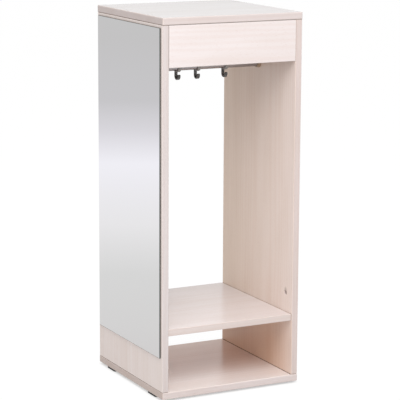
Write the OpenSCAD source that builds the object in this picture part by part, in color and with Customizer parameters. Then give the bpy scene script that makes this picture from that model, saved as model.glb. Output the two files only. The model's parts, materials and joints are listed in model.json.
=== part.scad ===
// Dress-up storage unit for children, with a mirror on its left side.
// Millimetres, +Z up, the open front faces -Y. The origin lies on the floor, under the
// middle of the box that the whole unit fills.

/* [Carcass] */
// Width of the top and base boards
carcass_w = 420; // [340:1:600]
// Depth of the top and base boards
carcass_d = 420; // [340:1:560]
// Height from the underside of the base board to the upper face of the top board
carcass_h = 1035; // [800:1:1400]
// Thickness of the top and base boards
slab_t = 20; // [16:0.5:25]
// Thickness of the sides, shelf and aprons
board_t = 19; // [16:0.5:25]
// How far the top and base boards stand proud of the sides at the front and back
overhang_y = 2; // [0:0.5:12]
// How far the top and base boards stand proud of the sides at the ends
overhang_x = 0; // [0:0.25:3]
// Rounding of the arrises of the top and base boards
slab_arris_r = 3; // [1:0.25:6]
// Rounding of the long arrises of the sides, shelf and aprons
board_arris_r = 2; // [0.5:0.25:5]
// Rounding of the arrises at the upper and lower ends of the sides
side_end_r = 1.5; // [0.5:0.25:3]
// Rounding of the arrises at the ends of the shelf and aprons
crosspiece_end_r = 1; // [0.5:0.25:2]

/* [Shelf and aprons] */
// Clear height between the base board and the shelf
lower_bay_h = 155; // [90:1:320]
// How far the shelf's front edge lies behind the front edges of the sides
shelf_setback = 4; // [0:0.5:30]
// Height of the front and rear aprons under the top board
apron_h = 113; // [80:1:126]

/* [Mirror] */
// Thickness of the mirror pane
mirror_t = 3; // [3:0.5:6]
// Thickness of the foam tape behind the mirror
tape_t = 1; // [0.5:0.1:2]
// Margin between the mirror and the front and back edges of the side
mirror_margin = 10; // [4:0.5:60]
// Gap between the mirror and the top board
mirror_top_gap = 8; // [2:0.5:100]
// Gap between the mirror and the base board
mirror_bottom_gap = 95; // [5:0.5:300]
// Ground arris round the face of the mirror
mirror_arris = 0.6; // [0.2:0.1:1.5]
// Number of tape strips
tape_count = 4; // [2:1:6]
// Width of a tape strip
tape_w = 25; // [12:1:40]
// Distance of the tape strips from the edges of the mirror
tape_inset = 15; // [5:1:40]

/* [Rail and sockets] */
// Outside diameter of the rail
rail_d = 20; // [16:0.5:28]
// Wall of the rail's tube
rail_wall = 1.5; // [1:0.1:2.5]
// Distance from the underside of the top board to the rail's axis
rail_drop = 139; // [135:1:200]
// Gap between the end of the rail and the floor of its socket
rail_end_gap = 0.3; // [0.1:0.1:1]
// Radial clearance of the rail in its sockets
rail_fit = 0.15; // [0.05:0.05:0.5]
// Wall of the socket round the rail
socket_wall = 3.35; // [2:0.05:6]
// Thickness of the socket's floor
socket_floor = 2.5; // [2:0.1:4]
// Depth of the socket's cup
socket_cup = 6.5; // [4:0.5:20]
// Rounding of the socket's rim
socket_rim_r = 1.2; // [0.5:0.1:1.5]

/* [Hooks] */
// Place of the left hook along the rail, from the middle of the bay
hook_left_x = -62; // [-110:1:-40]
// Place of the middle hook
hook_middle_x = -2; // [-15:1:20]
// Place of the right hook
hook_right_x = 84; // [45:1:110]
// Radial clearance of the hook's ring on the rail
hook_fit = 0.3; // [0.2:0.05:1]
// Thickness of the ring and of the bar, seen from the side
hook_t = 3.8; // [2.5:0.1:5]
// Width of the ring along the rail
hook_ring_w = 9; // [6:0.5:14]
// Width of the bar along the rail
hook_bar_w = 9; // [6.5:0.25:12]
// Inner radius of the bend that holds a garment
hook_bend_r = 7.5; // [5:0.1:12]
// Distance from the rail's axis down to the lowest point of the hook
hook_drop = 36.2; // [33:0.1:60]
// Height of the straight tip over the bend
hook_tip_rise = 1.7; // [0.5:0.1:8]
// Radius of the roll along the upper edge of the tip
hook_roll_r = 2.4; // [2:0.1:3]

/* [Glides] */
// Length of a glide, front to back
glide_l = 52; // [44:1:75]
// Width of a glide
glide_w = 24; // [18:1:40]
// Height of a glide
glide_h = 5; // [4:0.5:10]
// Corner radius of a glide
glide_corner_r = 6; // [2:0.5:8]
// Bevel round the sole of a glide
glide_bevel = 0.6; // [0.2:0.1:1]
// Distance from the end of the base board to a glide
glide_edge_gap = 2; // [0:0.5:15]
// Distance from the front edge of the base board to the front glides
glide_front_gap = 49; // [15:1:60]
// Distance from the back edge of the base board to the rear glides
glide_rear_gap = 49; // [15:1:60]

/* [Dowels and screws] */
// Diameter of the wooden dowels
dowel_d = 8; // [6:0.5:9]
// Length of a dowel in the end or edge of a board
dowel_in_edge = 20; // [12:1:26]
// Length of a dowel in the face of a board
dowel_in_face = 12; // [8:0.5:12]
// Radial room for glue round a dowel
dowel_fit = 0.1; // [0.05:0.05:0.3]
// Room for glue at each end of a dowel
dowel_end_gap = 0.5; // [0.2:0.1:2]
// Distance of the outer dowels from the front and back edges of the sides
dowel_margin = 45; // [45:1:70]
// Distance of an apron's upper dowel from its upper edge, and of the lower one from its lower edge
apron_dowel_margin = 28; // [20:1:32]
// Distance of the dowels in an apron's upper edge from its ends
apron_top_dowel_margin = 80; // [50:1:120]
// Radial clearance round a screw
screw_fit = 0.1; // [0.05:0.05:0.3]
// Shank diameter of the carcass screws under the base board
carcass_screw_d = 7; // [6:0.5:7.5]
// Thread diameter of the carcass screws in the sides
carcass_thread_d = 5; // [4:0.5:6]
// Length of thread of a carcass screw in a side
carcass_thread_l = 32; // [20:1:45]
// Head diameter of the carcass screws
carcass_head_d = 10; // [9:0.5:11]
// Distance of a carcass screw from the glide beside it
carcass_screw_gap = 15; // [8:1:30]
// Diameter of the small screws that hold the glides and the sockets
small_screw_d = 3.5; // [3:0.1:4]
// Head diameter of the small screws
small_head_d = 7; // [6.5:0.1:8]
// Length of a small screw in the wood
small_screw_in = 9; // [6:0.5:11]
// Distance of a glide's screws from its ends
glide_screw_margin = 12; // [8:0.5:18]
// Depth of a screw head under the sole of its glide
glide_head_sink = 0.8; // [0.4:0.1:1.5]
// Depth of the drive recess in a small screw, and of the socket in a carcass screw
drive_depth = 1.2; // [0.8:0.1:1.8]

/* [Linking bore] */
// Diameter of the bore through the right side, for a screw that links two units
link_bore_d = 12; // [8:0.5:14]
// Distance of the bore from the front edge of the side
link_setback = 38; // [20:1:60]
// Height of the bore above the shelf
link_rise = 55; // [30:1:120]
// Depth and width of the countersunk rim at each mouth of the bore
link_rim = 1.25; // [0.5:0.25:3]

/* [Hidden] */

$fn = 64;
glazed_wood = "#efe3df";
bare_wood = "#d9b98c";
foam = "#f4f4f2";
steel = "#8a8686";
bright_steel = "#c4c6c8";
socket_colour = "#a08c70";
black_plastic = "#26272a";

// Cutters reach this far past the faces that they open
past = 1;

// Heights of the boards
base_z0 = glide_h;
base_z1 = base_z0 + slab_t;
top_z1 = base_z0 + carcass_h;
top_z0 = top_z1 - slab_t;
side_h = top_z0 - base_z1;
shelf_z0 = base_z1 + lower_bay_h;
shelf_z1 = shelf_z0 + board_t;
apron_z0 = top_z0 - apron_h;

// The mirror stands out past the end of the top board, so the carcass lies off centre
mirror_proud = tape_t + mirror_t - overhang_x;
carcass_x = mirror_proud / 2;
left_out = carcass_x - carcass_w / 2 + overhang_x;
left_in = left_out + board_t;
right_out = carcass_x + carcass_w / 2 - overhang_x;
right_in = right_out - board_t;
bay_w = right_in - left_in;
left_mid = (left_out + left_in) / 2;
right_mid = (right_out + right_in) / 2;

side_d = carcass_d - 2 * overhang_y;
front_y = -side_d / 2;
back_y = side_d / 2;
shelf_d = side_d - shelf_setback;
shelf_y = (front_y + shelf_setback + back_y) / 2;
front_apron_y = front_y + board_t / 2;
rear_apron_y = back_y - board_t / 2;

mirror_w = side_d - 2 * mirror_margin;
mirror_h = side_h - mirror_top_gap - mirror_bottom_gap;
mirror_z = base_z1 + mirror_bottom_gap + mirror_h / 2;
tape_l = mirror_h - 2 * tape_inset;
tape_span = mirror_w - 2 * tape_inset - tape_w;

rail_z = top_z0 - rail_drop;
rail_r = rail_d / 2;
socket_r = rail_r + rail_fit + socket_wall;
socket_l = socket_floor + socket_cup;
rail_l = bay_w - 2 * (socket_floor + rail_end_gap);

hook_ring_in = rail_r + hook_fit;
hook_ring_out = hook_ring_in + hook_t;
hook_shank_y = hook_ring_in + hook_t / 2;
hook_bend_mid = hook_bend_r + hook_t / 2;
hook_bend_y = hook_shank_y - hook_bend_mid;
hook_bend_z = hook_bend_mid + hook_t / 2 - hook_drop;
hook_tip_y = hook_bend_y - hook_bend_mid;
hook_edge_r = hook_t / 3;

// Glides: centre of each, from the edges of the base board
glide_left_x = carcass_x - carcass_w / 2 + glide_edge_gap + glide_w / 2;
glide_right_x = carcass_x + carcass_w / 2 - glide_edge_gap - glide_w / 2;
glide_front_y = -carcass_d / 2 + glide_front_gap + glide_l / 2;
glide_rear_y = carcass_d / 2 - glide_rear_gap - glide_l / 2;
glide_screw_dy = glide_l / 2 - glide_screw_margin;

// Places of dowels and screws along the depth
outer_dowel_y = side_d / 2 - dowel_margin;
side_dowel_ys = [-outer_dowel_y, 0, outer_dowel_y];
base_dowel_ys = [glide_front_y, glide_rear_y];
carcass_screw_ys = [
    glide_front_y + glide_l / 2 + carcass_screw_gap,
    glide_rear_y - glide_l / 2 - carcass_screw_gap
];
apron_dowel_zs = [apron_z0 + apron_dowel_margin, top_z0 - apron_dowel_margin];
apron_top_dowel_xs = [left_in + apron_top_dowel_margin, right_in - apron_top_dowel_margin];
shelf_dowel_z = (shelf_z0 + shelf_z1) / 2;
shelf_dowel_ys = [shelf_y - shelf_d / 2 + dowel_margin, shelf_y, shelf_y + shelf_d / 2 - dowel_margin];

small_head_l = (small_head_d - small_screw_d) / 2;
carcass_head_l = (carcass_head_d - carcass_screw_d) / 2;
link_y = front_y + link_setback;
link_z = shelf_z1 + link_rise;

// A rectangle with round corners, centred
module rounded_rect(w, d, r) {
    square([w - 2 * r, d], center = true);
    square([w, d - 2 * r], center = true);
    for (x = [-1, 1], y = [-1, 1])
        translate([x * (w / 2 - r), y * (d / 2 - r)]) circle(r);
}

// A full-size board that lies flat, with every arris rounded
module slab(z0) {
    translate([carcass_x, 0, z0 + slab_t / 2])
        intersection() {
            linear_extrude(slab_t, center = true)
                rounded_rect(carcass_w, carcass_d, slab_arris_r);
            rotate([90, 0, 0])
                linear_extrude(carcass_d, center = true)
                    rounded_rect(carcass_w, slab_t, slab_arris_r);
            rotate([90, 0, 90])
                linear_extrude(carcass_w, center = true)
                    rounded_rect(carcass_d, slab_t, slab_arris_r);
        }
}

// A board that stands on its end, with every arris rounded, so that a fine groove runs
// along its joints with the top and base boards
module upright(x_mid) {
    translate([x_mid, 0, base_z1 + side_h / 2])
        intersection() {
            linear_extrude(side_h, center = true)
                rounded_rect(board_t, side_d, board_arris_r);
            rotate([90, 0, 0])
                linear_extrude(side_d, center = true)
                    rounded_rect(board_t, side_h, side_end_r);
            rotate([90, 0, 90])
                linear_extrude(board_t, center = true)
                    rounded_rect(side_d, side_h, side_end_r);
        }
}

// A board that runs from side to side, with every arris rounded: d is its size along Y
// and h its height
module crosspiece(d, h, y, z_mid) {
    translate([left_in + bay_w / 2, y, z_mid])
        intersection() {
            rotate([90, 0, 90])
                linear_extrude(bay_w, center = true)
                    rounded_rect(d, h, board_arris_r);
            rotate([90, 0, 0])
                linear_extrude(d, center = true)
                    rounded_rect(bay_w, h, crosspiece_end_r);
            linear_extrude(h, center = true)
                rounded_rect(bay_w, d, crosspiece_end_r);
        }
}

// A dowel or its hole, from the joint's plane: back is its length behind the plane,
// ahead its length in front of it, along +Z
module dowel(back, ahead) {
    translate([0, 0, -back]) cylinder(d = dowel_d, h = back + ahead);
}

module dowel_hole(back, ahead) {
    translate([0, 0, -back - dowel_end_gap])
        cylinder(r = dowel_d / 2 + dowel_fit, h = back + ahead + 2 * dowel_end_gap);
}

// Turns +Z to +X or to -X
module towards(x_sign) {
    rotate([0, 90 * x_sign, 0]) children();
}

// Places the dowels between the sides and the top board
module at_top_joints() {
    for (x = [left_mid, right_mid], y = side_dowel_ys)
        translate([x, y, top_z0]) children();
}

module at_base_joints() {
    for (x = [left_mid, right_mid], y = base_dowel_ys)
        translate([x, y, base_z1]) children();
}

module at_carcass_screws() {
    for (x = [left_mid, right_mid], y = carcass_screw_ys)
        translate([x, y, base_z0]) children();
}

// Places what joins the ends of a crosspiece to the sides, pointing out of the bay
module at_bay_ends(y, z) {
    translate([left_in, y, z]) towards(-1) children();
    translate([right_in, y, z]) towards(1) children();
}

module at_shelf_joints() {
    for (y = shelf_dowel_ys) at_bay_ends(y, shelf_dowel_z) children();
}

module at_apron_joints(y) {
    for (z = apron_dowel_zs) at_bay_ends(y, z) children();
}

module at_apron_top_joints(y) {
    for (x = apron_top_dowel_xs) translate([x, y, top_z0]) children();
}

// Places the centre of each glide, on the underside of the base board
module at_glides() {
    for (x = [glide_left_x, glide_right_x], y = [glide_front_y, glide_rear_y])
        translate([x, y, base_z0]) children();
}

// Countersunk small screw: its head's face at z = 0, its point along +Z
module small_screw(length) {
    difference() {
        union() {
            cylinder(d1 = small_head_d, d2 = small_screw_d, h = small_head_l);
            cylinder(d = small_screw_d, h = length - small_screw_d / 2);
            translate([0, 0, length - small_screw_d / 2])
                cylinder(d1 = small_screw_d, d2 = small_screw_d / 3, h = small_screw_d / 2);
        }
        translate([0, 0, -past])
            for (a = [0, 90])
                rotate([0, 0, a])
                    linear_extrude(past + drive_depth)
                        square([small_screw_d, small_screw_d / 4], center = true);
    }
}

// Countersink and clearance hole for a small screw, from the head's face along +Z
module small_screw_hole(length, open) {
    translate([0, 0, -open]) cylinder(r = small_head_d / 2 + screw_fit, h = open);
    cylinder(
        r1 = small_head_d / 2 + screw_fit, r2 = small_screw_d / 2 + screw_fit,
        h = small_head_l
    );
    cylinder(r = small_screw_d / 2 + screw_fit, h = length);
}

// Pilot hole for the end of a small screw in wood
module small_pilot() {
    translate([0, 0, -past])
        cylinder(r = small_screw_d / 2 + screw_fit, h = past + small_screw_in + dowel_end_gap);
}

// Carcass screw: its head's face at z = 0, its point along +Z
module carcass_screw() {
    difference() {
        union() {
            cylinder(d1 = carcass_head_d, d2 = carcass_screw_d, h = carcass_head_l);
            cylinder(d = carcass_screw_d, h = slab_t);
            cylinder(d = carcass_thread_d, h = slab_t + carcass_thread_l);
        }
        translate([0, 0, -past]) cylinder(d = carcass_thread_d, h = past + 2 * drive_depth, $fn = 6);
    }
}

module carcass_screw_hole() {
    translate([0, 0, -past]) cylinder(r = carcass_head_d / 2 + screw_fit, h = past);
    cylinder(
        r1 = carcass_head_d / 2 + screw_fit, r2 = carcass_screw_d / 2 + screw_fit,
        h = carcass_head_l
    );
    cylinder(r = carcass_screw_d / 2 + screw_fit, h = slab_t + past);
    cylinder(
        r = carcass_thread_d / 2 + screw_fit,
        h = slab_t + carcass_thread_l + dowel_end_gap
    );
}

module top_panel() {
    color(glazed_wood)
        difference() {
            slab(top_z0);
            at_top_joints() dowel_hole(past, dowel_in_face);
            at_apron_top_joints(front_apron_y) dowel_hole(past, dowel_in_face);
            at_apron_top_joints(rear_apron_y) dowel_hole(past, dowel_in_face);
        }
}

module base_panel() {
    color(glazed_wood)
        difference() {
            slab(base_z0);
            at_base_joints() dowel_hole(dowel_in_face, past);
            at_carcass_screws() carcass_screw_hole();
            at_glides()
                for (y = [-glide_screw_dy, glide_screw_dy])
                    translate([0, y, 0]) small_pilot();
        }
}

// What both sides have in common: one board with the holes of its joints
module side_panel(x_mid) {
    difference() {
        upright(x_mid);
        at_top_joints() dowel_hole(dowel_in_edge, past);
        at_base_joints() dowel_hole(past, dowel_in_edge);
        at_carcass_screws() carcass_screw_hole();
        at_shelf_joints() dowel_hole(past, dowel_in_face);
        at_apron_joints(front_apron_y) dowel_hole(past, dowel_in_face);
        at_apron_joints(rear_apron_y) dowel_hole(past, dowel_in_face);
        at_bay_ends(0, rail_z) small_pilot();
    }
}

module left_side_panel() {
    color(glazed_wood) side_panel(left_mid);
}

// The bore that links two units, with a countersunk rim at each of its mouths
module link_bore() {
    translate([right_mid, link_y, link_z])
        towards(1) {
            cylinder(d = link_bore_d, h = board_t, center = true);
            for (side = [0, 180])
                rotate([side, 0, 0])
                    translate([0, 0, board_t / 2 - link_rim])
                        cylinder(
                            r1 = link_bore_d / 2, r2 = link_bore_d / 2 + link_rim + past,
                            h = link_rim + past
                        );
        }
}

module right_side_panel() {
    color(glazed_wood)
        difference() {
            side_panel(right_mid);
            link_bore();
        }
}

module shelf() {
    color(glazed_wood)
        difference() {
            crosspiece(shelf_d, board_t, shelf_y, shelf_dowel_z);
            at_shelf_joints() dowel_hole(dowel_in_edge, past);
        }
}

module apron(y) {
    color(glazed_wood)
        difference() {
            crosspiece(board_t, apron_h, y, apron_z0 + apron_h / 2);
            at_apron_joints(y) dowel_hole(dowel_in_edge, past);
            at_apron_top_joints(y) dowel_hole(dowel_in_edge, past);
        }
}

module front_apron() {
    apron(front_apron_y);
}

module rear_apron() {
    apron(rear_apron_y);
}

// The pane, with a ground arris round its outer face
module mirror_pane() {
    color("#c9ccd0")
        translate([left_out - tape_t, 0, mirror_z])
            difference() {
                towards(-1)
                    linear_extrude(mirror_t) square([mirror_h, mirror_w], center = true);
                for (s = [-1, 1]) {
                    translate([-mirror_t, s * mirror_w / 2, 0])
                        rotate([0, 0, 45])
                            cube([mirror_arris, mirror_arris, mirror_h + past], center = true);
                    translate([-mirror_t, 0, s * mirror_h / 2])
                        rotate([0, 45, 0])
                            cube([mirror_arris, mirror_w + past, mirror_arris], center = true);
                }
            }
}

// Upright strips of double-sided foam tape
module mirror_tape() {
    color(foam)
        for (i = [0:tape_count - 1])
            translate([left_out - tape_t / 2, tape_span * (i / (tape_count - 1) - 0.5), mirror_z])
                cube([tape_t, tape_w, tape_l], center = true);
}

module hanging_rail() {
    color(steel)
        translate([left_in + bay_w / 2, 0, rail_z])
            towards(1)
                difference() {
                    cylinder(r = rail_r, h = rail_l, center = true);
                    cylinder(r = rail_r - rail_wall, h = rail_l + past, center = true);
                }
}

// Turned socket: its back at z = 0, its cup opening along +Z
module rail_socket() {
    color(socket_colour)
        difference() {
            rotate_extrude() {
                square([socket_r, socket_l - socket_rim_r]);
                square([socket_r - socket_rim_r, socket_l]);
                translate([socket_r - socket_rim_r, socket_l - socket_rim_r]) circle(socket_rim_r);
            }
            translate([0, 0, socket_floor])
                cylinder(r = rail_r + rail_fit, h = socket_cup + past);
            translate([0, 0, socket_floor])
                rotate([180, 0, 0]) small_screw_hole(socket_floor + past, past);
        }
}

module rail_socket_left() {
    translate([left_in, 0, rail_z]) towards(1) rail_socket();
}

module rail_socket_right() {
    translate([right_in, 0, rail_z]) towards(-1) rail_socket();
}

module rail_socket_screws() {
    color(bright_steel)
        at_bay_ends(0, rail_z)
            translate([0, 0, -socket_floor]) small_screw(socket_floor + small_screw_in);
}

// Section of the hook's bar, thin along X and with round edges
module hook_section() {
    rounded_rect(hook_t, hook_bar_w, hook_edge_r);
}

// A roll with round ends along the upper edge of a hook's tip, so that no cloth snags
module hook_roll() {
    roll_l = hook_bar_w - 2 * hook_roll_r;
    towards(1) cylinder(r = hook_roll_r, h = roll_l, center = true);
    for (s = [-1, 1])
        translate([s * roll_l / 2, 0, 0]) sphere(hook_roll_r);
}

// One hook, moulded as a broad strip: a closed ring round the rail, a shank down from its
// back, a bend that opens to the front, and a short tip with a roll along its edge
module hook(x) {
    color(black_plastic)
        translate([left_in + bay_w / 2 + x, 0, rail_z]) {
            towards(1)
                rotate_extrude()
                    translate([hook_shank_y, 0])
                        rounded_rect(hook_t, hook_ring_w, hook_edge_r);
            translate([0, hook_shank_y, hook_bend_z])
                linear_extrude(-hook_bend_z) rotate(90) hook_section();
            translate([0, hook_bend_y, hook_bend_z])
                towards(1)
                    rotate([0, 0, -90])
                        rotate_extrude(angle = 180)
                            translate([hook_bend_mid, 0]) hook_section();
            translate([0, hook_tip_y, hook_bend_z])
                linear_extrude(hook_tip_rise) rotate(90) hook_section();
            translate([0, hook_tip_y, hook_bend_z + hook_tip_rise]) hook_roll();
        }
}

module hook_left() {
    hook(hook_left_x);
}

module hook_middle() {
    hook(hook_middle_x);
}

module hook_right() {
    hook(hook_right_x);
}

// A flat glide with round corners and a bevelled sole, held by two sunk screws
module glide(x, y) {
    color(black_plastic)
        translate([x, y, 0])
            difference() {
                union() {
                    translate([0, 0, glide_bevel])
                        linear_extrude(glide_h - glide_bevel)
                            rounded_rect(glide_w, glide_l, glide_corner_r);
                    linear_extrude(glide_bevel)
                        rounded_rect(
                            glide_w - 2 * glide_bevel, glide_l - 2 * glide_bevel,
                            glide_corner_r - glide_bevel
                        );
                }
                for (dy = [-glide_screw_dy, glide_screw_dy])
                    translate([0, dy, glide_head_sink])
                        small_screw_hole(glide_h, glide_head_sink + past);
            }
}

module glide_front_left() {
    glide(glide_left_x, glide_front_y);
}

module glide_front_right() {
    glide(glide_right_x, glide_front_y);
}

module glide_rear_left() {
    glide(glide_left_x, glide_rear_y);
}

module glide_rear_right() {
    glide(glide_right_x, glide_rear_y);
}

module glide_screws() {
    color(bright_steel)
        at_glides()
            for (y = [-glide_screw_dy, glide_screw_dy])
                translate([0, y, glide_head_sink - glide_h])
                    small_screw(glide_h - glide_head_sink + small_screw_in);
}

module top_dowels() {
    color(bare_wood) at_top_joints() dowel(dowel_in_edge, dowel_in_face);
}

module base_dowels() {
    color(bare_wood) at_base_joints() dowel(dowel_in_face, dowel_in_edge);
}

module carcass_screws() {
    color(bright_steel) at_carcass_screws() carcass_screw();
}

module shelf_dowels() {
    color(bare_wood) at_shelf_joints() dowel(dowel_in_edge, dowel_in_face);
}

// Dowels of one apron: two at each end and two up into the top board
module apron_dowels(y) {
    color(bare_wood) {
        at_apron_joints(y) dowel(dowel_in_edge, dowel_in_face);
        at_apron_top_joints(y) dowel(dowel_in_edge, dowel_in_face);
    }
}

module front_apron_dowels() {
    apron_dowels(front_apron_y);
}

module rear_apron_dowels() {
    apron_dowels(rear_apron_y);
}

top_panel();
base_panel();
left_side_panel();
right_side_panel();
shelf();
front_apron();
rear_apron();
mirror_pane();
mirror_tape();
hanging_rail();
rail_socket_left();
rail_socket_right();
rail_socket_screws();
hook_left();
hook_middle();
hook_right();
glide_front_left();
glide_front_right();
glide_rear_left();
glide_rear_right();
glide_screws();
top_dowels();
base_dowels();
carcass_screws();
shelf_dowels();
front_apron_dowels();
rear_apron_dowels();
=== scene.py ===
# %% [markdown]
# # A dress-up storage unit with a mirror
# This lesson dresses a finished construction model: a narrow beech unit for a nursery, with
# a tall mirror on its left side, a rail with three sliding hooks, a low shelf and flat
# glides. The boards, the rail and the mirror arrive at their real size and never move.
# What is left to make is what the eye reads: glazed wood, silvered glass, moulded plastic,
# drawn steel, and the small hardware that holds it all together.

# %% Load the construction model
import json
import math

import bmesh
import bpy
from mathutils import Matrix, Vector


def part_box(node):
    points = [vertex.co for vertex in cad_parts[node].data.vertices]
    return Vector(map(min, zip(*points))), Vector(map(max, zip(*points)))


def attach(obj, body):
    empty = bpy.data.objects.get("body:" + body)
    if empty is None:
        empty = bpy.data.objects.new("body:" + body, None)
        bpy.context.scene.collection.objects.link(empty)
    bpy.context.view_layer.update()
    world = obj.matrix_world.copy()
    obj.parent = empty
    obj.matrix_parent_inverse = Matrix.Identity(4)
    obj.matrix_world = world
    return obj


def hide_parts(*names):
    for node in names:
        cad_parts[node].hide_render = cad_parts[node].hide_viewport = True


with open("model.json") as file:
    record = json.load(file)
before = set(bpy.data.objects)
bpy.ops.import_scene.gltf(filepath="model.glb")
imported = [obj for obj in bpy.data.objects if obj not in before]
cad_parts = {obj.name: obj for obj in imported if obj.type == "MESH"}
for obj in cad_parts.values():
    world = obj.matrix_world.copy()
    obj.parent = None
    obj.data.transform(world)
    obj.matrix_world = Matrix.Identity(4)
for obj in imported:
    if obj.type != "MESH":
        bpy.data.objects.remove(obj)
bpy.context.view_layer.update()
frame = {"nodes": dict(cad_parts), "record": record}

NODES = frame["nodes"]
MM = 0.001


# %% [markdown]
# ## The camera
# The picture to match was taken from the front left, a little above the top board, with a
# long lens from about five metres, so the upright edges stay nearly parallel. A camera
# could be placed by eye, but the edges of a box are easy to measure, and a least-squares
# fit of those edges gives the angles, the distance and the lens at once. The values below
# are that fit. The matrix is built from its three axes, so the small roll is part of it.

# %% Camera
VIEW_AZIMUTH = math.radians(-27.062)
VIEW_ELEVATION = math.radians(11.202)
VIEW_ROLL = math.radians(0.27)
VIEW_TARGET = Vector((0.0101, 0.0, 0.5021))
VIEW_DISTANCE = 5.097        # metres from the target
FARTHEST_SEEN = 100.0        # metres, past the far edge of the floor
SENSOR_MM = 36.0
LENS_MM = 163.4


def way_out(azimuth, elevation):
    """The direction from the unit towards what stands at that azimuth and elevation."""
    return Vector((
        math.sin(azimuth) * math.cos(elevation),
        -math.cos(azimuth) * math.cos(elevation),
        math.sin(elevation),
    ))


def make_camera():
    back = way_out(VIEW_AZIMUTH, VIEW_ELEVATION)
    right = Vector((math.cos(VIEW_AZIMUTH), math.sin(VIEW_AZIMUTH), 0.0))
    roll = Matrix.Rotation(VIEW_ROLL, 3, back)
    axes = Matrix((roll @ right, roll @ back.cross(right), back)).transposed()
    camera = bpy.data.objects.new("camera", bpy.data.cameras.new("camera"))
    bpy.context.scene.collection.objects.link(camera)
    place = Matrix.Translation(VIEW_TARGET + back * VIEW_DISTANCE)
    camera.matrix_world = place @ axes.to_4x4()
    camera.data.sensor_width = SENSOR_MM
    camera.data.lens = LENS_MM
    camera.data.clip_end = FARTHEST_SEEN
    bpy.context.scene.camera = camera
    return camera


camera = make_camera()
print("camera stands at", [round(v, 2) for v in camera.matrix_world.translation], "m")

# %% [markdown]
# ## Colours
# Colours are written as sRGB hex values, as a paint chart gives them. The sockets of a
# material take linear light, in which half the value is half the light, so one function
# turns the first into the second.

# %% Colours in linear light
def linear(hex_colour):
    """The linear RGBA colour of an sRGB hex value such as "EDE0DC"."""
    srgb = [int(hex_colour[i:i + 2], 16) / 255 for i in (0, 2, 4)]
    light = [c / 12.92 if c <= 0.04045 else ((c + 0.055) / 1.055) ** 2.4 for c in srgb]
    return (*light, 1.0)


WHITE = linear("FFFFFF")
print("the middle grey 808080 is", round(linear("808080")[0], 3), "of white in linear light")

# %% [markdown]
# ## Nodes
# A material is a chain of nodes, which could be joined by hand in the shader editor. In a
# script every node takes a line to add, a few to set and one for each link. One function
# does all of that for any node, so that a material reads as a list of steps. Mix nodes
# hold hidden inputs for several data types, so their colour sockets go by number.

# %% Adding nodes and materials
MIX_FACTOR, MIX_A, MIX_B, MIX_RESULT = 0, 6, 7, 2


def add(tree, kind, inputs=None, stops=None, **settings):
    """Adds a node; each input is a value or the socket that feeds it, stops fill a ramp."""
    node = tree.nodes.new(kind)
    for name, value in settings.items():
        setattr(node, name, value)
    for name, value in (inputs or {}).items():
        if isinstance(value, bpy.types.NodeSocket):
            tree.links.new(value, node.inputs[name])
        else:
            node.inputs[name].default_value = value
    for i, (position, colour) in enumerate(stops or []):
        ramp = node.color_ramp.elements
        stop = ramp[i] if i < 2 else ramp.new(position)
        stop.position, stop.color = position, colour
    return node


def new_material(name):
    """A new material, its node tree, and the output node that is all that it holds."""
    material = bpy.data.materials.new(name)
    material.use_nodes = True
    tree = material.node_tree
    tree.nodes.clear()
    return material, tree, tree.nodes.new("ShaderNodeOutputMaterial")


print("a Mix node takes its colours at sockets", MIX_A, "and", MIX_B)

# %% [markdown]
# ## The studio: a white sky
# The unit stands in a white studio, and light comes softly from all round. The sky could be
# made as bright as the picture's background, but then the unit would burn out too. So the
# sky has two strengths: a lower one that lights the unit, and plain white for what the
# camera sees, directly, in a reflection or through something clear.

# %% Sky
SKY_STRENGTH = 0.64


def seen_by(tree, *rays):
    """1 for rays of these kinds and 0 for all other rays."""
    path = add(tree, "ShaderNodeLightPath").outputs
    seen = path[rays[0]]
    for ray in rays[1:]:
        seen = add(tree, "ShaderNodeMath", {0: seen, 1: path[ray]},
                   operation="MAXIMUM").outputs[0]
    return seen


def make_sky():
    world = bpy.data.worlds.new("white_studio")
    world.use_nodes = True
    tree = world.node_tree
    tree.nodes.clear()
    seen = seen_by(tree, "Is Camera Ray", "Is Glossy Ray", "Is Transmission Ray")
    light = add(tree, "ShaderNodeBackground", {"Color": WHITE, "Strength": SKY_STRENGTH})
    shown = add(tree, "ShaderNodeBackground", {"Color": WHITE, "Strength": 1.0})
    mixed = add(tree, "ShaderNodeMixShader",
                {0: seen, 1: light.outputs[0], 2: shown.outputs[0]})
    add(tree, "ShaderNodeOutputWorld", {"Surface": mixed.outputs[0]})
    bpy.context.scene.world = world


bpy.context.scene.view_settings.view_transform = "Standard"
make_sky()
print("the sky lights the unit at", SKY_STRENGTH, "and shows as 1.0")

# %% [markdown]
# ## The studio: what the floor shows
# The floor is white paper, and a mirror shows it as a studio floor looks: a little grey at
# the unit's foot, bright in a wide pool a few metres out, grey again beyond it, and white
# where it meets the backdrop. Lamps would give that pool only if they lit the floor far more
# than the unit. It is simpler to draw the pool by the distance from the unit, for
# reflections only, and to leave the camera plain white paper.

# %% Pool of light
FLOOR_RADIUS = 30.0          # metres
# The floor's tone in reflections, by the distance from the unit's middle in metres
POOL = [(0.2, "D1CECE"), (0.7, "D7D6D6"), (1.4, "DBDBDB"), (2.2, "EEEDEF"), (3.6, "F9F8FF"),
        (4.6, "DFDDE3"), (5.7, "CCCBCE"), (9.0, "C9C8C9"), (12.0, "CACACA"), (28.0, "FFFFFF")]


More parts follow.
